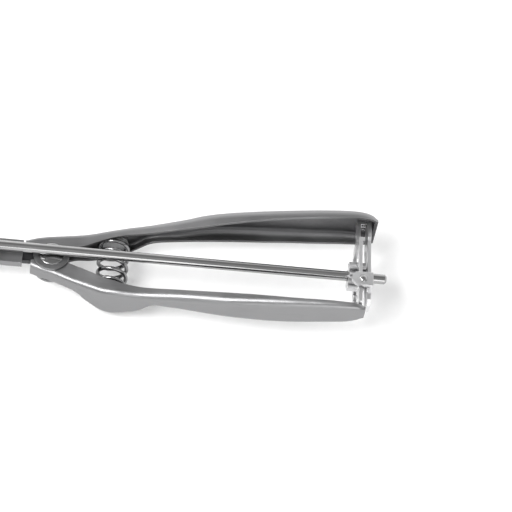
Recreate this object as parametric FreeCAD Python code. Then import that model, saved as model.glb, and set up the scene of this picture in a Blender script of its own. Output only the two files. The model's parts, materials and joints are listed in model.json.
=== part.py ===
import FreeCAD, Part
import math
import os

# A stainless squeeze-handle portioner: a round bowl on a stem, two sprung channel handles on
# one rivet, and a long shaft that two racks turn through a pinion to sweep a blade round the bowl.
#
# Frame: millimetres. +X runs from the bowl along the shaft to the tail of the handles, +Z leaves
# the bowl's mouth and +Y points at the upper handle. The origin is the centre of the bowl's
# sphere, on the shaft's axis. The handles are drawn a little short of fully squeezed.
# Every X below is measured from the handle pivot. The finished shapes are moved by PIVOT_X.

V = FreeCAD.Vector
X_AXIS = V(1, 0, 0)
Y_AXIS = V(0, 1, 0)
Z_AXIS = V(0, 0, 1)

# ---- driving dimensions ----
PIVOT_X = 60.0          # from the bowl's centre to the handle pivot
BOWL_X = -PIVOT_X
BOWL_INSIDE_R = 21.0
BOWL_WALL = 0.8
BOWL_LIP = 3.0          # straight wall above the sphere's equator
RIM_BEAD_R = 0.9
FRONT_PIN_R = 1.5
FRONT_PIN_TIP_X = BOWL_X - 18.7
BEARING_R = 3.6
BEARING_X = (-38.6, -33.0)

SHAFT_R = 2.0
SHAFT_FRONT_X = -41.8
SHAFT_TAIL_X = 134.3
FIT = 0.06              # radial clearance of a running fit

SHEET = 1.2             # sheet thickness of the handles and the stem
STEM_HALF_WIDTH = 5.3
STEM_TOP_Z = -3.2
STEM_DEPTH = 3.2
STEM_END_X = -11.4
TANG_HALF_WIDTH = STEM_HALF_WIDTH - SHEET
TANG_NECK_HALF = 2.5
TANG_EYE_R = 5.6
TANG_FRONT_X = -37.0
TANG_PIN_R = 1.3
TANG_PIN_X = (-17.0, -28.0)

PIVOT_R = 2.0
PIVOT_HEAD_R = 5.2
UPPER_NEAR_Z = -3.0     # outer faces of the four ears, from the mouth side down
UPPER_FAR_Z = -13.2
LOWER_NEAR_Z = -4.4
LOWER_FAR_Z = -11.8
TANG_TOP_Z = -5.8
TANG_BOTTOM_Z = -8.2
WASHER_Z = (-13.9, -13.3)

SPRING_X = 24.6
SPRING_Z = -10.2
SPRING_HALF = 11.8      # half its length between the seats
SPRING_COIL_R = 5.7
SPRING_WIRE_R = 0.8
SPRING_TURNS = 5.0
SEAT_R = 5.8
SEAT_BACK_R = 3.4       # the pad narrows to this over SEAT_DEPTH, beyond the handle's back
SEAT_DEPTH = 8.0
POST_R = 4.5
POST_HEIGHT = 1.4

MODULE = 1.0
PINION_TEETH = 10
PRESSURE_ANGLE = math.radians(25)
BACKLASH = 0.28         # the racks tilt a few degrees as the handles swing
PITCH_R = MODULE * PINION_TEETH / 2
PITCH = math.pi * MODULE
PINION_TIP_R = PITCH_R + 0.9
PINION_ROOT_R = PITCH_R - 1.15
PINION_X = (118.7, 125.4)
PINION_PIN_X = 120.5
PINION_PIN_R = 0.75
WASHER_X = (125.5, 125.9)
WASHER_R = 4.0
RACK_TIP = 0.85
RACK_ROOT = 1.15
RACK_X = (121.9, 123.3)
RACK_BACK_Z = 9.0
LOWER_RACK_TOP = 13.6
RACK_END_Z = 7.2        # the lower rack narrows to this where it enters the channel
UPPER_RACK_END = -12.0
RACK_HOOK = 0.9         # how far the stop tab at the lower rack's top is bent back
BLANK_REACH = 28.0      # the blanks of racks and yoke reach past the backs and are trimmed there
FOOT_THICKNESS = 1.4
SEAT_GAP = 0.04         # between a riveted piece and the curved back behind it
YOKE_X = (126.0, 127.4)
YOKE_END = -14.4
SLOT_Y = (-10.9, 12.5)
EAR_Y = (-10.0, -4.0)
EAR_Z = (9.3, 10.8)
EAR_END_X = 121.9
BUTTON_X = 123.4
BUTTON_R = 1.0
BUTTON_PAD_R = 2.0

BLADE_OUTSIDE_R = 20.75
BLADE_THICKNESS = 0.7
BLADE_HALF_WIDTH = 5.2
BLADE_REST_ANGLE = -40.4    # degrees from straight down, towards +Y
BLADE_HUB_X = (-41.6, -39.4)
BLADE_FRONT_HUB_X = (-80.6, -78.9)
COLLAR_X = (-32.8, -29.6)

EAR_FLAT_X = 8.5        # the side walls are flat and level from the tip to here
STATION_STEP = 4.0
START_STEPS = (0, 1, 2.5, 4.5, 7, 10)     # closer stations where the straight front ends
TAIL_STEPS = (8, 6, 4.4, 3, 1.8, 0.8, 0)  # and where the tail is rounded

# ---- the two handles ----
# Each table is X, value. "web" is the outer face of the channel's back, "near_edge" and
# "far_edge" are how close the two side walls come to the shaft, all as distances from the plane
# y = 0. "near_z" and "far_z" are the outer faces of the side walls behind the ears, "corner_r"
# is the outside bend. "foot" is the part of a rack that is riveted to the inside of the back.
UPPER = {
    "side": 1,
    "tip_x": -10.6,
    "tail_x": 129.7,
    "ear_r": 7.2,
    "ear_near_z": UPPER_NEAR_Z,
    "ear_far_z": UPPER_FAR_Z,
    "web": [
        (-12, 5.6), (-7, 7.2), (-3, 8.4), (0, 8.9), (6, 9.9), (14, 11.4), (23, 13.9),
        (34, 16.9), (51, 20.0), (60, 22.3),
        (70, 23.6), (90, 24.8), (110, 25.6), (118, 25.8), (123, 25.6), (126.5, 24.9),
        (128.6, 24.0), (129.7, 23.3),
    ],
    "near_edge": [
        (-12, 3.6), (0, 1.0), (11, 4.25), (24, 9.8), (34, 12.3), (51, 14.3), (59, 15.3),
        (75, 17.6), (91, 19.2), (107, 20.4), (131, 21.3),
    ],
    "far_edge": [
        (-12, 3.6), (0, 1.0), (11, 4.5), (24, 9.8), (34, 12.6), (51, 15.2), (67, 16.9),
        (83, 18.2), (99, 19.5), (131, 20.5),
    ],
    "near_z": [
        (16, -2.7), (24, -2.2), (34, -2.0), (51, 1.6), (67, 4.7), (83, 7.4), (99, 9.7),
        (115, 11.2), (121, 11.4), (125, 11.0), (128, 10.0), (129.7, 8.8),
    ],
    "far_z": [
        (17, -16.6), (24, -18.2), (33, -15.0), (38, -11.2), (43, -9.9), (59, -9.6), (83, -9.4),
        (99, -9.2), (117, -8.0), (125, -7.4), (128, -6.6), (129.7, -5.6),
    ],
    "corner_r": [(-12, 1.6), (11, 2.2), (40, 2.8), (60, 4.0), (131, 4.4)],
    "foot": {
        "x": (121.9, 125.8),
        "z": (-0.5, 3.9),
        "rivets": [(124.75, 0.55), (124.75, 2.85)],
        "rivet_r": 0.7,
        "head_r": 1.0,
    },
}
LOWER = {
    "side": -1,
    "tip_x": -8.0,
    "tail_x": 124.5,
    "ear_r": 6.4,
    "ear_near_z": LOWER_NEAR_Z,
    "ear_far_z": LOWER_FAR_Z,
    "web": [
        (-12, 4.2), (-8, 5.4), (-4, 6.9), (0, 8.0), (11, 12.2), (23, 16.2), (34, 17.2), (51, 18.8), (75, 21.0),
        (99, 21.5), (117, 21.4), (124.5, 21.0),
    ],
    "near_edge": [
        (-12, 3.4), (0, 1.0), (11, 4.25), (24, 9.8), (34, 12.3), (51, 14.3), (83, 16.8),
        (99, 18.1), (131, 19.0),
    ],
    "far_edge": [
        (-12, 3.4), (0, 1.0), (11, 4.5), (24, 9.8), (34, 12.6), (51, 14.6), (83, 17.0),
        (99, 18.1), (131, 19.0),
    ],
    "near_z": [
        (20, -3.2), (26, -2.4), (34, -2.0), (51, 1.6), (67, 4.7), (83, 7.4), (99, 9.7),
        (115, 11.0), (119, 11.0), (122, 10.4), (124.5, 9.0),
    ],
    "far_z": [
        (17, -16.4), (24, -18.8), (34, -15.4), (43, -8.0), (59, -7.6), (83, -7.0), (99, -5.0),
        (110, -2.9), (116, -1.8), (119, -0.9), (122, 0.4), (124.5, 2.2),
    ],
    "corner_r": [(-12, 1.6), (11, 2.2), (40, 2.8), (60, 3.4), (131, 3.4)],
    "foot": {
        "x": (112.0, 121.9),
        "z": (3.2, 8.2),
        "rivets": [(114.4, 5.7), (118.4, 5.7)],
        "rivet_r": 1.1,
        "head_r": 1.9,
    },
}


def slope(table, i):
    """A slope at point i that never makes the curve overshoot its points."""
    if i in (0, len(table) - 1):
        return 0.0
    (x0, y0), (x1, y1), (x2, y2) = table[i - 1 : i + 2]
    before = (y1 - y0) / (x1 - x0)
    after = (y2 - y1) / (x2 - x1)
    if before * after <= 0:
        return 0.0
    return 2 * before * after / (before + after)


def smooth(table, x):
    """The table's value at x, on a smooth curve through its points."""
    if x <= table[0][0]:
        return table[0][1]
    if x >= table[-1][0]:
        return table[-1][1]
    i = max(k for k, point in enumerate(table[:-1]) if point[0] <= x)
    (x0, y0), (x1, y1) = table[i : i + 2]
    width = x1 - x0
    t = (x - x0) / width
    rise = y0 * (1 + 2 * t) * (1 - t) ** 2 + y1 * t * t * (3 - 2 * t)
    lean = slope(table, i) * t * (1 - t) ** 2 - slope(table, i + 1) * t * t * (1 - t)
    return rise + width * lean


def box(x, y, z):
    """A box from three (low, high) pairs."""
    return Part.makeBox(x[1] - x[0], y[1] - y[0], z[1] - z[0], V(x[0], y[0], z[0]))


def rod(radius, start, end):
    """A round bar between two points."""
    direction = end - start
    return Part.makeCylinder(radius, direction.Length, start, direction)


def shaft_bar(radius, x):
    return rod(radius, V(x[0], 0, 0), V(x[1], 0, 0))


def pivot_bar(radius, z):
    return rod(radius, V(0, 0, z[0]), V(0, 0, z[1]))


def dome(radius, height, base, direction):
    """A low round head standing on base."""
    ball_r = (radius * radius + height * height) / (2 * height)
    unit = V(direction).normalize()
    ball = Part.makeSphere(ball_r, base - unit * (ball_r - height))
    return ball.common(Part.makeCylinder(ball_r, height, base, unit))


def plate(points, x):
    """A flat plate across the shaft: an outline of (y, z) points, from x[0] to x[1]."""
    corners = [V(x[0], y, z) for y, z in points]
    face = Part.Face(Part.makePolygon(corners + corners[:1]))
    return face.extrude(X_AXIS * (x[1] - x[0]))


def slab(points, z):
    """A flat plate beside the shaft: an outline of (x, y) points, from z[0] to z[1]."""
    corners = [V(x, y, z[0]) for x, y in points]
    face = Part.Face(Part.makePolygon(corners + corners[:1]))
    return face.extrude(Z_AXIS * (z[1] - z[0]))


def largest(shape):
    return max(shape.Solids, key=lambda s: s.Volume)


# ---- the bowl and the fixed frame ----

def bowl_round(radius, top):
    """A half ball with a straight wall up to z = top."""
    ball = Part.makeSphere(radius, V(BOWL_X, 0, 0))
    below = box((BOWL_X - 30, BOWL_X + 30), (-30, 30), (-30, 0))
    wall = Part.makeCylinder(radius, top, V(BOWL_X, 0, 0), Z_AXIS)
    return ball.common(below).fuse(wall)


def bowl_outside():
    """The bowl filled up, with the rolled bead round its rim."""
    bead = Part.makeTorus(BOWL_INSIDE_R + BOWL_WALL + 0.1, RIM_BEAD_R, V(BOWL_X, 0, BOWL_LIP), Z_AXIS)
    return bowl_round(BOWL_INSIDE_R + BOWL_WALL, BOWL_LIP).fuse(bead)


def make_bowl():
    shell = bowl_outside().cut(bowl_round(BOWL_INSIDE_R, BOWL_LIP + 5))
    shell = shell.cut(shaft_bar(SHAFT_R + 0.2, (BOWL_X + 10, BOWL_X + 30)))
    return largest(shell.cut(shaft_bar(FRONT_PIN_R, (BOWL_X - 30, BOWL_X - 10))))


def make_front_pin():
    """The rivet that carries the front end of the blade."""
    shank = shaft_bar(FRONT_PIN_R, (BOWL_X - 22.6, FRONT_PIN_TIP_X))
    head = dome(2.0, 1.1, V(BOWL_X - 22.3, 0, 0), -X_AXIS)
    foot = shaft_bar(2.0, (BOWL_X - 22.3, BOWL_X - 21.0)).cut(bowl_outside())
    return shank.fuse([head, foot])


def make_bearing():
    tube = shaft_bar(BEARING_R, BEARING_X)
    return largest(tube.cut(bowl_outside()).cut(shaft_bar(SHAFT_R + FIT, (-45, -30))))


def tang_pin_bars():
    return [
        rod(TANG_PIN_R, V(x, 0, STEM_TOP_Z), V(x, 0, TANG_BOTTOM_Z)) for x in TANG_PIN_X
    ]


def make_stem():
    """A shallow channel, open downwards, from the bowl's back to just before the pivot."""
    half = STEM_HALF_WIDTH
    bottom = STEM_TOP_Z - STEM_DEPTH
    outer = box((-42, STEM_END_X), (-half, half), (bottom, STEM_TOP_Z))
    inner = box((-43, STEM_END_X + 1), (SHEET - half, half - SHEET), (bottom - 1, STEM_TOP_Z - SHEET))
    stem = outer.cut(inner).cut(bowl_outside()).cut(shaft_bar(BEARING_R, (-42, BEARING_X[1])))
    return largest(stem.cut(Part.makeCompound(tang_pin_bars())))


def make_tang():
    """The solid bar inside the stem that ends in the eye round the pivot rivet."""
    block_z = (TANG_BOTTOM_Z, STEM_TOP_Z - SHEET)
    block = box((TANG_FRONT_X, STEM_END_X - 1), (-TANG_HALF_WIDTH, TANG_HALF_WIDTH), block_z)
    neck = box((STEM_END_X - 2, 0), (-TANG_NECK_HALF, TANG_NECK_HALF), (TANG_BOTTOM_Z, TANG_TOP_Z))
    eye = pivot_bar(TANG_EYE_R, (TANG_BOTTOM_Z, TANG_TOP_Z))
    tang = block.fuse([neck, eye]).cut(pivot_bar(PIVOT_R, (-15, 0)))
    tang = tang.cut(bowl_outside()).cut(Part.makeCompound(tang_pin_bars()))
    return largest(tang)


def make_tang_pins():
    return Part.makeCompound(tang_pin_bars())


def make_pivot_rivet():
    near_seat = UPPER_NEAR_Z + 0.03
    shank = pivot_bar(PIVOT_R, (WASHER_Z[0], near_seat))
    near_head = dome(PIVOT_HEAD_R, 0.6, V(0, 0, near_seat), Z_AXIS)
    far_head = dome(3.6, 1.4, V(0, 0, WASHER_Z[0]), -Z_AXIS)
    return shank.fuse([near_head, far_head])


def make_pivot_washer():
    return pivot_bar(5.2, WASHER_Z).cut(pivot_bar(PIVOT_R, (-15, 0)))


def make_pivot_spacer():
    """The bush that fills the space under the tang, between the ears."""
    bush = pivot_bar(4.4, (LOWER_FAR_Z + SHEET + 0.2, TANG_BOTTOM_Z))
    return bush.cut(pivot_bar(PIVOT_R, (-15, 0)))


def make_spring():
    """A round-wire compression coil standing between the two handles."""
    length = 2 * (SPRING_HALF - SPRING_WIRE_R) - 0.1
    helix = Part.makeHelix(length / SPRING_TURNS, length, SPRING_COIL_R)
    circle = Part.Wire(Part.makeCircle(SPRING_WIRE_R, V(SPRING_COIL_R, 0, 0), Y_AXIS))
    coil = Part.Wire(helix).makePipeShell([circle], True, True)
    coil.rotate(V(0, 0, 0), X_AXIS, -90)
    coil.translate(V(SPRING_X, -length / 2, SPRING_Z))
    return coil


# ---- the handles ----

def wall_z(form, wall, x):
    """The side wall's z at x: flat and level at the pivot, then the handle's own curve."""
    ear_z = form["ear_" + wall]
    return smooth([(-12, ear_z), (EAR_FLAT_X, ear_z)] + form[wall], x)


def outline(form, x, inset):
    """One side of the channel's sheet at x: down the near wall, round the back and up the far wall.

    The points are (y, z). A bend's middle point stands between its two ends.
    """
    near_edge = smooth(form["near_edge"], x)
    far_edge = smooth(form["far_edge"], x)
    back = smooth(form["web"], x)
    wall = back - max(near_edge, far_edge)
    radius = min(smooth(form["corner_r"], x), 0.8 * wall) - inset
    web = back - inset
    near = wall_z(form, "near_z", x) - inset
    far = wall_z(form, "far_z", x) + inset
    bend = radius * (1 - math.sqrt(0.5))
    points = [
        (near_edge, near),
        (web - radius, near),
        (web - bend, near - bend),
        (web, near - radius),
        (web, far + radius),
        (web - bend, far + bend),
        (web - radius, far),
        (far_edge, far),
    ]
    return [V(x, y, z) for y, z in points]


def sheet_edges(p):
    return [
        Part.LineSegment(p[0], p[1]).toShape(),
        Part.Arc(p[1], p[2], p[3]).toShape(),
        Part.LineSegment(p[3], p[4]).toShape(),
        Part.Arc(p[4], p[5], p[6]).toShape(),
        Part.LineSegment(p[6], p[7]).toShape(),
    ]


def channel_section(form, x):
    """The cross-section of the bent sheet at x."""
    outer = outline(form, x, 0)
    inner = outline(form, x, SHEET)
    edges = sheet_edges(outer) + [Part.LineSegment(outer[7], inner[7]).toShape()]
    edges += sheet_edges(inner[::-1]) + [Part.LineSegment(inner[0], outer[0]).toShape()]
    return Part.Wire(edges)


def end_wall(form):
    """The flat wall that closes the channel's tail, let a little into the bent sheet."""
    p = outline(form, form["tail_x"], 0.8 * SHEET)
    edges = sheet_edges(p) + [Part.LineSegment(p[7], p[0]).toShape()]
    return Part.Face(Part.Wire(edges)).extrude(X_AXIS * -SHEET)


def back_stations(form):
    """Where the curved part's cross-sections stand."""
    start = EAR_FLAT_X + START_STEPS[-1]
    end = form["tail_x"] - TAIL_STEPS[0]
    count = round((end - start) / STATION_STEP)
    middle = [start + (end - start) * i / count for i in range(1, count)]
    return [EAR_FLAT_X + d for d in START_STEPS] + middle + [form["tail_x"] - d for d in TAIL_STEPS]


def make_handle(form):
    """A pressed channel, open towards the shaft, with an ear on each wall for the pivot rivet.

    It is drawn on the +Y side and mirrored for side -1.
    """
    start = form["tip_x"]
    near = form["ear_near_z"]
    far = form["ear_far_z"]
    front = [start + (EAR_FLAT_X - start) * i / 4 for i in range(5)]
    straight = Part.makeLoft([channel_section(form, x) for x in front], True, True)
    curved = Part.makeLoft([channel_section(form, x) for x in back_stations(form)], True, False)
    channel = straight.fuse(curved).fuse(end_wall(form))
    ears = [
        pivot_bar(form["ear_r"], (near - SHEET, near)),
        pivot_bar(form["ear_r"], (far, far + SHEET)),
    ]
    handle = largest(channel.fuse(ears).cut(pivot_bar(PIVOT_R + FIT, (-20, 0))))
    return handle if form["side"] > 0 else handle.mirror(V(0, 0, 0), Y_AXIS)


def trimmed(form, blank, x):
    """What is left of a blank on the shaft's side of the inner face of the handle's back."""
    steps = 16
    stations = [x[0] + (x[1] - x[0]) * i / steps for i in range(steps + 1)]
    side = form["side"]
    face = [(at, side * (smooth(form["web"], at) - SHEET - SEAT_GAP)) for at in stations]
    points = [(x[0], -side * BLANK_REACH)] + face + [(x[1], -side * BLANK_REACH)]
    return largest(blank.common(slab(points, (-BLANK_REACH, BLANK_REACH))))


def make_spring_seat(form):
    """A pad that levels the handle's back under the spring, with a post inside the coil."""
    side = form["side"]
    seat = V(SPRING_X, side * SPRING_HALF, SPRING_Z)
    pad = Part.makeCone(SEAT_R, SEAT_BACK_R, SEAT_DEPTH, seat, Y_AXIS * side)
    post = rod(POST_R, seat - V(0, side * POST_HEIGHT, 0), seat + V(0, side * SHEET / 2, 0))
    return trimmed(form, pad.fuse(post), (SPRING_X - SEAT_R, SPRING_X + SEAT_R))


# ---- pinion, racks and yoke ----

def involute_point(radius, turn, mirror):
    """A point on a tooth's flank, (y, z), for the tooth centred at angle turn."""
    base_r = PITCH_R * math.cos(PRESSURE_ANGLE)
    half_tooth = (PITCH / 2 - BACKLASH / 2) / (2 * PITCH_R)

    def roll(r):
        a = math.acos(min(1.0, base_r / r))
        return math.tan(a) - a

    off = half_tooth + roll(PITCH_R) - roll(max(radius, base_r))
    angle = turn + mirror * off
    return radius * math.cos(angle), radius * math.sin(angle)


def make_pinion():
    """A long spur pinion, pinned to the shaft through the tooth gaps that face +Z and -Z."""
    steps = 5
    radii = [PINION_ROOT_R + (PINION_TIP_R - PINION_ROOT_R) * i / steps for i in range(steps + 1)]
    points = []
    for k in range(PINION_TEETH):
        turn = math.pi / 2 + (k + 0.5) * 2 * math.pi / PINION_TEETH
        points += [involute_point(r, turn, -1) for r in radii]
        points += [involute_point(r, turn, 1) for r in reversed(radii)]
    gear = plate(points, PINION_X)
    return largest(gear.cut(shaft_bar(SHAFT_R, PINION_X)).cut(make_pinion_pin()))


def make_pinion_pin():
    reach = V(0, 0, PINION_ROOT_R + 0.3)
    centre = V(PINION_PIN_X, 0, 0)
    return rod(PINION_PIN_R, centre - reach, centre + reach)


def rack_teeth(first, last):
    """The toothed edge, as (y, height above the tip line's pitch line) points."""
    half = (PITCH / 2 - BACKLASH / 2) / 2
    lean = math.tan(PRESSURE_ANGLE)
    points = []
    for k in range(first, last + 1):
        y = k * PITCH
        points += [
            (y - half - RACK_ROOT * lean, -RACK_ROOT),
            (y - half + RACK_TIP * lean, RACK_TIP),
            (y + half - RACK_TIP * lean, RACK_TIP),
            (y + half + RACK_ROOT * lean, -RACK_ROOT),
        ]
    return points


def foot_level(form):
    """How far from y = 0 the foot's face towards the shaft lies."""
    return smooth(form["web"], form["foot"]["x"][0]) - SHEET - FOOT_THICKNESS


def make_foot(form):
    """The tab of a rack that lies on the inside of the handle's back."""
    ends = sorted((form["side"] * foot_level(form), form["side"] * BLANK_REACH))
    return box(form["foot"]["x"], ends, form["foot"]["z"])


def make_rivets(form):
    """The foot's blind rivets, set half through the handle's back, with a low head on the foot."""
    side = form["side"]
    pieces = []
    for x, z in form["foot"]["rivets"]:
        seat = V(x, side * foot_level(form), z)
        end = V(x, side * (smooth(form["web"], x) - SHEET / 2), z)
        head = dome(form["foot"]["head_r"], 0.4 * form["foot"]["head_r"], seat, V(0, -side, 0))
        pieces.append(rod(form["foot"]["rivet_r"], seat, end).fuse(head))
    return Part.makeCompound(pieces)


def make_lower_rack():
    """The rack on the mouth side of the pinion. It stands up from the lower handle."""
    teeth = [(y, PITCH_R - h) for y, h in rack_teeth(-2, 4)]
    root_z = PITCH_R + RACK_ROOT
    points = [(-BLANK_REACH, 4.6), (teeth[0][0], 4.6)] + teeth
    points += [(LOWER_RACK_TOP, root_z), (LOWER_RACK_TOP, RACK_BACK_Z), (-16.4, RACK_BACK_Z)]
    points += [(-18.2, RACK_END_Z), (-BLANK_REACH, RACK_END_Z)]
    hook_x = (RACK_X[0], RACK_X[1] + RACK_HOOK)
    hook = box(hook_x, (LOWER_RACK_TOP - 1.6, LOWER_RACK_TOP), (6.5, RACK_BACK_Z))
    blank = plate(points, RACK_X).fuse([hook, make_foot(LOWER)])
    return trimmed(LOWER, blank, (LOWER["foot"]["x"][0], hook_x[1])).cut(make_rivets(LOWER))


def make_upper_rack():
    """The rack on the far side of the pinion. A neck joins it to the upper handle's channel."""
    teeth = [(y, h - PITCH_R) for y, h in rack_teeth(-3, 2)]
    root_z = -PITCH_R - RACK_ROOT
    low_z, high_z = UPPER["foot"]["z"]
    low = [(UPPER_RACK_END, -RACK_BACK_Z), (UPPER_RACK_END, root_z)]
    neck = [(12.0, root_z), (14.0, high_z), (BLANK_REACH, high_z), (BLANK_REACH, low_z)]
    neck += [(17.0, low_z), (15.0, -RACK_BACK_Z)]
    blank = plate(low + teeth + neck, RACK_X).fuse(make_foot(UPPER))
    return trimmed(UPPER, blank, UPPER["foot"]["x"]).cut(make_rivets(UPPER))


def make_yoke():
    """The slotted plate that guides the shaft's tail, with an arm bent over the lower rack's back."""
    points = [(BLANK_REACH, 5.8), (16, 5.8), (14.5, 5.0), (-8, 5.0), (-12.5, 4.2), (YOKE_END, 2.4)]
    points += [(YOKE_END, -2.4), (-12.5, -4.2), (-8, -4.6), (15, -4.6), (18.0, -2.6), (20.8, -2.6)]
    points += [(22.5, -0.5), (BLANK_REACH, -0.5)]
    slot_r = SHAFT_R + FIT + 0.04
    slot = box(YOKE_X, SLOT_Y, (-slot_r, slot_r))
    ends = [rod(slot_r, V(YOKE_X[0], y, 0), V(YOKE_X[1], y, 0)) for y in SLOT_Y]
    arm = box(YOKE_X, EAR_Y, (4.0, EAR_Z[1]))
    ear_end = V(EAR_END_X, sum(EAR_Y) / 2, EAR_Z[0])
    thickness = Z_AXIS * (EAR_Z[1] - EAR_Z[0])
    ear = box((EAR_END_X, YOKE_X[1]), EAR_Y, EAR_Z)
    ear = ear.fuse(rod((EAR_Y[1] - EAR_Y[0]) / 2, ear_end, ear_end + thickness))
    blank = plate(points, YOKE_X).fuse([arm, ear]).cut(Part.makeCompound([slot] + ends))
    button = V(BUTTON_X, sum(EAR_Y) / 2, EAR_Z[0])
    blank = blank.cut(rod(BUTTON_R, button, button + thickness))
    return trimmed(UPPER, blank, (EAR_END_X - 4, YOKE_X[1]))


def make_ear_button():
    """The riveted rubbing pad that keeps the lower rack in mesh."""
    bottom = V(BUTTON_X, sum(EAR_Y) / 2, EAR_Z[0])
    top = V(BUTTON_X, sum(EAR_Y) / 2, EAR_Z[1])
    pad = rod(BUTTON_PAD_R, bottom - Z_AXIS * 0.2, bottom)
    return rod(BUTTON_R, bottom, top).fuse([dome(1.7, 0.8, top, Z_AXIS), pad])


# ---- the shaft and the blade ----

def make_shaft():
    bar = shaft_bar(SHAFT_R, (SHAFT_FRONT_X, SHAFT_TAIL_X - 0.7))
    tip = Part.makeCone(SHAFT_R, SHAFT_R - 0.7, 0.7, V(SHAFT_TAIL_X - 0.7, 0, 0), X_AXIS)
    bar = bar.fuse(tip).cut(make_pinion_pin()).cut(make_blade_pin()).cut(make_collar_pin())
    return largest(bar)


def make_collar():
    """The collar that stops the shaft from sliding into the bowl."""
    ring = shaft_bar(3.0, COLLAR_X).cut(shaft_bar(SHAFT_R, (-40, -20)))
    return ring.cut(make_collar_pin())


def make_collar_pin():
    x = sum(COLLAR_X) / 2
    return rod(0.6, V(x, 0, -2.9), V(x, 0, 2.9))


def make_washer():
    """The thin washer between the pinion and the yoke."""
    return shaft_bar(WASHER_R, WASHER_X).cut(shaft_bar(SHAFT_R, WASHER_X))


def make_blade():
    """A thin half hoop that follows the bowl's inside, with a hub at each end."""
    inside_r = BLADE_OUTSIDE_R - BLADE_THICKNESS
    centre = V(BOWL_X, 0, 0)
    shell = Part.makeSphere(BLADE_OUTSIDE_R, centre).cut(Part.makeSphere(inside_r, centre))
    ellipse = Part.Ellipse(V(BOWL_X, 0, -30), 22.5, BLADE_HALF_WIDTH)
    lens = Part.Face(Part.Wire(ellipse.toShape())).extrude(Z_AXIS * 30)
    hubs = [shaft_bar(3.2, BLADE_HUB_X), shaft_bar(3.0, BLADE_FRONT_HUB_X)]
    blade = shell.common(lens).fuse(hubs)
    blade = blade.cut(shaft_bar(SHAFT_R, (-50, -30))).cut(shaft_bar(FRONT_PIN_R + FIT, (-90, -70)))
    blade.rotate(centre, X_AXIS, BLADE_REST_ANGLE)
    return largest(blade.cut(make_blade_pin()))


def make_blade_pin():
    x = sum(BLADE_HUB_X) / 2
    turn = math.radians(BLADE_REST_ANGLE)
    reach = V(0, -math.cos(turn), -math.sin(turn)) * 3.1
    return rod(0.6, V(x, 0, 0) - reach, V(x, 0, 0) + reach)


def export(name, shape):
    shape = shape.copy()
    shape.translate(V(PIVOT_X, 0, 0))
    shape.exportStep(os.path.join("parts", name + ".step"))


def main():
    os.makedirs("parts", exist_ok=True)
    upper = make_handle(UPPER)
    lower = make_handle(LOWER)
    upper_rivets = make_rivets(UPPER)
    lower_rivets = make_rivets(LOWER)
    pieces = {
        "bowl": make_bowl(),
        "front_pivot_pin": make_front_pin(),
        "shaft_bearing": make_bearing(),
        "stem": make_stem(),
        "stem_tang": make_tang(),
        "tang_pins": make_tang_pins(),
        "pivot_rivet": make_pivot_rivet(),
        "pivot_washer": make_pivot_washer(),
        "pivot_spacer": make_pivot_spacer(),
        "coil_spring": make_spring(),
        "upper_handle": upper.cut(upper_rivets),
        "upper_rack": make_upper_rack(),
        "upper_rack_rivets": upper_rivets,
        "upper_spring_seat": make_spring_seat(UPPER),
        "yoke_plate": make_yoke(),
        "yoke_button": make_ear_button(),
        "lower_handle": lower.cut(lower_rivets),
        "lower_rack": make_lower_rack(),
        "lower_rack_rivets": lower_rivets,
        "lower_spring_seat": make_spring_seat(LOWER),
        "drive_shaft": make_shaft(),
        "shaft_collar": make_collar(),
        "collar_pin": make_collar_pin(),
        "pinion": make_pinion(),
        "pinion_pin": make_pinion_pin(),
        "pinion_washer": make_washer(),
        "sweep_blade": make_blade(),
        "blade_pin": make_blade_pin(),
    }
    for name, shape in pieces.items():
        if not shape.isValid() or not shape.Solids:
            print("check", name, shape.isValid(), len(shape.Solids))
        export(name, shape)


main()
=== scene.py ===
import json
import math

import bpy
from mathutils import Matrix, Vector


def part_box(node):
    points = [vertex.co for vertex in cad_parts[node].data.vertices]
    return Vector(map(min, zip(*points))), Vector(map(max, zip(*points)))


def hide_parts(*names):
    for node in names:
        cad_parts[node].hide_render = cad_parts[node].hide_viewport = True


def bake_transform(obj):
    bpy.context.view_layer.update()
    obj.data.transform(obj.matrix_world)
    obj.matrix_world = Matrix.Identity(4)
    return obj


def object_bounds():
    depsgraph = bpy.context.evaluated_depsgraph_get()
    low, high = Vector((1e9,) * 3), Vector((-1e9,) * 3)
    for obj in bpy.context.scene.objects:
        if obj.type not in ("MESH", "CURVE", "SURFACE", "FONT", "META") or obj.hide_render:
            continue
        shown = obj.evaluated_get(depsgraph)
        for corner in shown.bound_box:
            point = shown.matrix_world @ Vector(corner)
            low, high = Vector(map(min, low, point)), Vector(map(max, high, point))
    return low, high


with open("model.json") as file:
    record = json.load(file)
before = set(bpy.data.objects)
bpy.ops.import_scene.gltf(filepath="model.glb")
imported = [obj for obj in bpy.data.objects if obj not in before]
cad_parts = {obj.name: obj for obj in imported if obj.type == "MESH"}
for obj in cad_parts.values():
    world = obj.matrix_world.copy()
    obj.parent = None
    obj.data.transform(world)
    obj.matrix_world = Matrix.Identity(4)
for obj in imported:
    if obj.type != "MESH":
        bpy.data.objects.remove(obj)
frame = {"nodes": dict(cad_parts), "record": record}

cad_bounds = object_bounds()

# ---- places, in metres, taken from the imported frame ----
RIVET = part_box("pivot_rivet")
PIVOT = Vector(((RIVET[0].x + RIVET[1].x) / 2, 0.0, 0.0))
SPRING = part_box("coil_spring")
SPRING_CENTRE = (SPRING[0] + SPRING[1]) / 2
MM = 0.001
CREASE_ANGLE = math.radians(32)

# ---- camera: a long lens, from above and a little behind the bowl's side ----
VIEW_FROM = Vector((-0.085, -0.537, 0.84)).normalized()
VIEW_UP = Vector((-0.09, 0.843, 0.53))
VIEW_CENTRE = PIVOT + Vector((81.6, 0.0, 0.0)) * MM + VIEW_UP.normalized() * 4.8 * MM
FIELD_WIDTH = 0.2048
LENS_MM = 150.0
SENSOR_MM = 36.0

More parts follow.
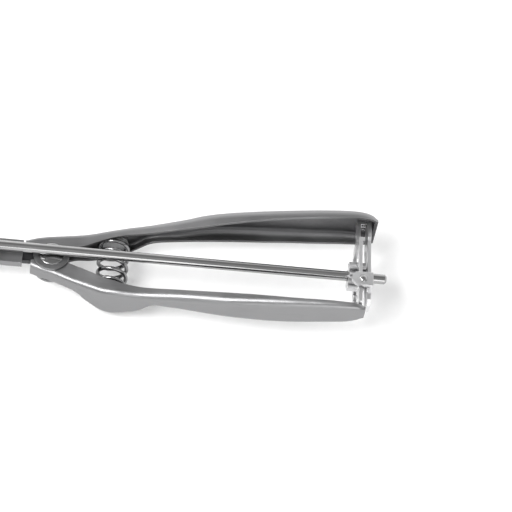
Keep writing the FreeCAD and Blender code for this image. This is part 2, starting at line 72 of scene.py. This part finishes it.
# ---- tones and grain directions of the metal ----
# dark end of the colour ramp: handling marks and painted shade both darken towards it
SOIL_AND_SHADE_TONE = (0.035, 0.035, 0.037, 1.0)
ALONG_TOOL = (0.04, 1.0, 1.0)
EVEN = (1.0, 1.0, 1.0)

# ---- spring and floor ----
SPRING_TURNS = 6.0
WIRE_RADIUS = 0.8 * MM
COIL_RADIUS = (SPRING[1].x - SPRING[0].x) / 2 - WIRE_RADIUS
SPRING_HALF = (SPRING[1].y - SPRING[0].y) / 2 - WIRE_RADIUS
END_TURN = 0.9
END_RISE = 1.89
HALF_STEPS = 220
WIRE_SIDES = 14
FLOOR_GAP = 0.5 * MM
FLOOR_REACH = 3.0


# ---- node helpers ----

def new_material(name):
    material = bpy.data.materials.new(name)
    material.use_nodes = True
    tree = material.node_tree
    tree.nodes.clear()
    output = tree.nodes.new("ShaderNodeOutputMaterial")
    shader = tree.nodes.new("ShaderNodeBsdfPrincipled")
    tree.links.new(shader.outputs["BSDF"], output.inputs["Surface"])
    return material, tree, shader


def add(tree, kind, inputs=None, **settings):
    """A node of that kind, with its settings, and its inputs set to values or linked to sockets."""
    node = tree.nodes.new(kind)
    for key, value in settings.items():
        setattr(node, key, value)
    for key, value in (inputs or {}).items():
        if isinstance(value, bpy.types.NodeSocket):
            tree.links.new(value, node.inputs[key])
        else:
            node.inputs[key].default_value = value
    return node


def math_node(tree, operation, a, b):
    return add(tree, "ShaderNodeMath", {0: a, 1: b}, operation=operation).outputs[0]


def object_place(tree, stretch):
    """Object coordinates scaled by stretch, so that noise runs along the longer direction."""
    place = add(tree, "ShaderNodeTexCoord").outputs["Object"]
    return add(tree, "ShaderNodeMapping", {"Vector": place, "Scale": stretch}).outputs["Vector"]


def noise(tree, place, scale, detail):
    inputs = {"Vector": place, "Scale": scale, "Detail": detail, "Roughness": 0.6}
    return add(tree, "ShaderNodeTexNoise", inputs).outputs["Fac"]


def spread(tree, value, low, high):
    """A 0 to 1 value, its middle half stretched over low to high."""
    inputs = {"Value": value, "From Min": 0.25, "From Max": 0.75, "To Min": low, "To Max": high}
    return add(tree, "ShaderNodeMapRange", inputs).outputs["Result"]


def open_to_light_mask(tree):
    """0 in the hollow of a channel, where shade is painted, 1 on its outside and on the open edges of its
    sheet.
    """
    geometry = add(tree, "ShaderNodeNewGeometry")
    normal = add(tree, "ShaderNodeSeparateXYZ", {"Vector": geometry.outputs["Normal"]}).outputs["Y"]
    place = add(tree, "ShaderNodeSeparateXYZ", {"Vector": geometry.outputs["Position"]}).outputs["Y"]
    outward = math_node(tree, "MULTIPLY", normal, math_node(tree, "SIGN", place, 0.0))
    turned = {"Value": outward, "From Min": -0.6, "From Max": -0.15}
    away = add(tree, "ShaderNodeMapRange", turned).outputs["Result"]
    around = add(tree, "ShaderNodeAmbientOcclusion", {"Distance": 0.02}, samples=8).outputs["AO"]
    free = {"Value": around, "From Min": 0.86, "From Max": 0.97}
    return math_node(tree, "MAXIMUM", away, add(tree, "ShaderNodeMapRange", free).outputs["Result"])


def steel(name, tone, roughness, grain, grain_depth, stretch, anisotropy, hollow_shade_level=1.0):
    """Stainless steel: fine grain along one direction, cloudy handling marks, painted shade that darkens
    creases and recesses, and softly rounded edges.

    hollow_shade_level is how bright the face in the hollow towards the shaft stays under the painted
    shade.
    """
    material, tree, shader = new_material(name)
    along = object_place(tree, stretch)
    everywhere = object_place(tree, EVEN)
    lines = noise(tree, along, grain, 6.0)
    clouds = noise(tree, everywhere, 55.0, 4.0)
    specks = noise(tree, everywhere, 900.0, 2.0)
    # painted shade: ambient occlusion darkens the colour in creases, recesses and between parts
    occlusion = add(tree, "ShaderNodeAmbientOcclusion", {"Distance": 0.004}, samples=6).outputs["AO"]
    soil = math_node(tree, "MULTIPLY", spread(tree, clouds, 0.9, 1.05), spread(tree, lines, 0.94, 1.04))
    shade = math_node(tree, "MULTIPLY", soil, spread(tree, occlusion, 0.55, 1.0))
    # painted shade: the face in the hollow of a channel, towards the shaft, is darkened
    if hollow_shade_level < 1.0:
        hollow_shade = {"Value": open_to_light_mask(tree), "To Min": hollow_shade_level, "To Max": 1.0}
        shade = math_node(tree, "MULTIPLY", shade, add(tree, "ShaderNodeMapRange", hollow_shade).outputs["Result"])
    ramp = add(tree, "ShaderNodeMix", {"Factor": shade}, data_type="RGBA")
    ramp.inputs["A"].default_value = SOIL_AND_SHADE_TONE
    ramp.inputs["B"].default_value = tone
    tree.links.new(ramp.outputs["Result"], shader.inputs["Base Color"])
    shader.inputs["Metallic"].default_value = 1.0
    rough_lines = spread(tree, lines, roughness * 0.8, roughness * 1.25)
    rough = math_node(tree, "MULTIPLY", rough_lines, spread(tree, clouds, 0.8, 1.3))
    tree.links.new(rough, shader.inputs["Roughness"])
    shader.inputs["Anisotropic"].default_value = anisotropy
    height = math_node(tree, "ADD", lines, math_node(tree, "MULTIPLY", specks, 0.35))
    bump = add(tree, "ShaderNodeBump", {"Height": height, "Strength": grain_depth, "Distance": 0.00004})
    bevel = add(tree, "ShaderNodeBevel", {"Radius": 0.00025}, samples=4)
    tree.links.new(bevel.outputs["Normal"], bump.inputs["Normal"])
    tree.links.new(bump.outputs["Normal"], shader.inputs["Normal"])
    return material


def floor_material():
    material, tree, shader = new_material("pale_floor")
    place = object_place(tree, EVEN)
    grain = noise(tree, place, 260.0, 3.0)
    tone = add(tree, "ShaderNodeMix", {"Factor": spread(tree, grain, 0.0, 1.0)}, data_type="RGBA")
    tone.inputs["A"].default_value = (0.93, 0.93, 0.93, 1.0)
    tone.inputs["B"].default_value = (0.96, 0.96, 0.96, 1.0)
    tree.links.new(tone.outputs["Result"], shader.inputs["Base Color"])
    shader.inputs["Roughness"].default_value = 0.9
    return material


def make_materials():
    satin = (0.27, 0.27, 0.274, 1.0)
    bright = (0.35, 0.35, 0.35, 1.0)
    plain = (0.66, 0.66, 0.665, 1.0)
    wire = (0.29, 0.29, 0.293, 1.0)
    # painted shade: the tang is coloured near black, where it sits in shadow between the handles' ears
    tang_shade_tone = (0.07, 0.07, 0.073, 1.0)
    return {
        "satin_steel": steel("satin_steel", satin, roughness=0.37, grain=2600.0, grain_depth=0.16,
                             stretch=ALONG_TOOL, anisotropy=0.5, hollow_shade_level=0.32),
        "polished_steel": steel("polished_steel", bright, roughness=0.15, grain=1800.0, grain_depth=0.12,
                                stretch=ALONG_TOOL, anisotropy=0.2),
        "stamped_steel": steel("stamped_steel", plain, roughness=0.36, grain=1500.0, grain_depth=0.35,
                               stretch=EVEN, anisotropy=0.0),
        "spring_steel": steel("spring_steel", wire, roughness=0.20, grain=1600.0, grain_depth=0.25,
                              stretch=EVEN, anisotropy=0.0),
        "tang_shade_steel": steel("tang_shade_steel", tang_shade_tone, roughness=0.34, grain=1500.0, grain_depth=0.30,
                            stretch=ALONG_TOOL, anisotropy=0.3),
    }


def paint_cad_nodes(materials):
    """Each CAD node takes the material that the record names for it; the tang is painted near black as
    shade instead.
    """
    slots = {row["node"]: row["material_slot"] for row in frame["record"]["subparts"]}
    for name, node in frame["nodes"].items():
        material = materials["tang_shade_steel" if name == "stem_tang" else slots[name]]
        for place in node.material_slots:
            place.material = material
        node.data.shade_smooth()
        node.data.set_sharp_from_angle(angle=CREASE_ANGLE)


# ---- mesh helpers ----

def link(name, mesh, material):
    piece = bpy.data.objects.new(name, mesh)
    bpy.context.scene.collection.objects.link(piece)
    mesh.materials.append(material)
    return piece


def tube_mesh(name, path, radius, sides):
    """A closed round wire along a path."""
    points = []
    faces = []
    for i, here in enumerate(path):
        before = path[max(i - 1, 0)]
        after = path[min(i + 1, len(path) - 1)]
        tangent = (after - before).normalized()
        out = (here - SPRING_CENTRE).cross(tangent).cross(tangent).normalized()
        side = tangent.cross(out)
        for k in range(sides):
            turn = 2 * math.pi * k / sides
            points.append(here + (out * math.cos(turn) + side * math.sin(turn)) * radius)
    for i in range(len(path) - 1):
        for k in range(sides):
            a = i * sides + k
            b = i * sides + (k + 1) % sides
            faces.append((a, b, b + sides, a + sides))
    faces.append(tuple(reversed(range(sides))))
    faces.append(tuple(range(len(points) - sides, len(points))))
    mesh = bpy.data.meshes.new(name)
    mesh.from_pydata(points, [], faces)
    mesh.update()
    for face in mesh.polygons:
        face.use_smooth = len(face.vertices) == 4
    return mesh


def spring_height(turn):
    """How far along half the spring a turn stands, from 0 to 1: the end turn lies closed and flat."""
    half = SPRING_TURNS / 2
    rise = END_RISE * WIRE_RADIUS / SPRING_HALF
    if turn > half - END_TURN:
        return 1 - rise * (half - turn) / END_TURN
    return turn / (half - END_TURN) * (1 - rise)


def spring_half(name, material, sign):
    """One half of the coil, from its middle turn to its closed end."""
    path = []
    for i in range(HALF_STEPS + 1):
        turn = SPRING_TURNS / 2 * i / HALF_STEPS
        angle = 2 * math.pi * turn * sign
        out = Vector((math.cos(angle), 0.0, math.sin(angle))) * COIL_RADIUS
        along = Vector((0.0, sign * spring_height(turn) * SPRING_HALF, 0.0))
        path.append(SPRING_CENTRE + out + along)
    return link(name, tube_mesh(name, path, WIRE_RADIUS, WIRE_SIDES), material)


def make_spring(materials):
    """The coil as two halves, from its middle turn to each closed end, in place of the CAD spring."""
    halves = ((1, "spring_upper_half", "upper_handle"), (-1, "spring_lower_half", "lower_handle"))
    for sign, name, body in halves:
        half = spring_half(name, materials["spring_steel"], sign)
        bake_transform(half)
        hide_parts("coil_spring")


# ---- camera, light and floor ----

def make_camera():
    back = VIEW_FROM
    right = VIEW_UP.cross(back).normalized()
    up = back.cross(right)
    data = bpy.data.cameras.new("camera")
    data.lens = LENS_MM
    data.sensor_width = SENSOR_MM
    data.clip_end = 10.0
    camera = bpy.data.objects.new("camera", data)
    bpy.context.scene.collection.objects.link(camera)
    place = VIEW_CENTRE + back * FIELD_WIDTH * LENS_MM / SENSOR_MM
    camera.matrix_world = Matrix.Translation(place) @ Matrix((right, up, back)).transposed().to_4x4()
    bpy.context.scene.camera = camera


def area_light(name, place, target, width, height, power):
    data = bpy.data.lights.new(name, "AREA")
    data.shape = "RECTANGLE"
    data.size = width
    data.size_y = height
    data.energy = power
    lamp = bpy.data.objects.new(name, data)
    bpy.context.scene.collection.objects.link(lamp)
    lamp.location = place
    lamp.rotation_euler = (Vector(target) - Vector(place)).to_track_quat("-Z", "Y").to_euler()


def make_world():
    """A room with a pale band round the horizon that is darker where flat tops look."""
    world = bpy.data.worlds.new("studio")
    bpy.context.scene.world = world
    world.use_nodes = True
    tree = world.node_tree
    background = tree.nodes["Background"]
    place = add(tree, "ShaderNodeTexCoord").outputs["Generated"]
    axes = add(tree, "ShaderNodeSeparateXYZ", {"Vector": place}).outputs
    high = {"Value": axes["Z"], "From Min": 0.3, "From Max": 0.9, "To Min": 1.7, "To Max": 0.35}
    back = add(tree, "ShaderNodeMapRange", high).outputs["Result"]
    side = {"Value": axes["Y"], "From Min": -0.3, "From Max": 0.3, "To Min": 0.0, "To Max": 1.0}
    behind = add(tree, "ShaderNodeMapRange", side).outputs["Result"]
    level = add(tree, "ShaderNodeMix", {"Factor": behind, "A": 0.55, "B": back}, data_type="FLOAT")
    tree.links.new(level.outputs["Result"], background.inputs["Strength"])
    background.inputs["Color"].default_value = (1.0, 1.0, 1.0, 1.0)


def make_light():
    middle = PIVOT + Vector((0.05, 0.0, 0.0))
    area_light("key_soft", (middle.x - 0.45, -0.35, 0.80), middle, width=0.45, height=0.35, power=8.0)
    area_light("fill_soft", (middle.x + 0.30, -0.85, 0.35), middle, width=0.9, height=0.5, power=3.5)
    area_light("rim_soft", (middle.x - 0.75, 0.35, 0.40), middle, width=0.3, height=0.3, power=1.5)
    make_world()
    bpy.context.scene.view_settings.view_transform = "Standard"


def make_floor():
    level = cad_bounds[0][2] - FLOOR_GAP
    mesh = bpy.data.meshes.new("floor")
    ways = ((-1, -1), (1, -1), (1, 1), (-1, 1))
    corners = [(x * FLOOR_REACH, y * FLOOR_REACH, level) for x, y in ways]
    mesh.from_pydata(corners, [], [(0, 1, 2, 3)])
    floor = link("floor", mesh, floor_material())


def main():
    materials = make_materials()
    paint_cad_nodes(materials)
    make_spring(materials)
    make_camera()
    make_light()
    make_floor()


main()
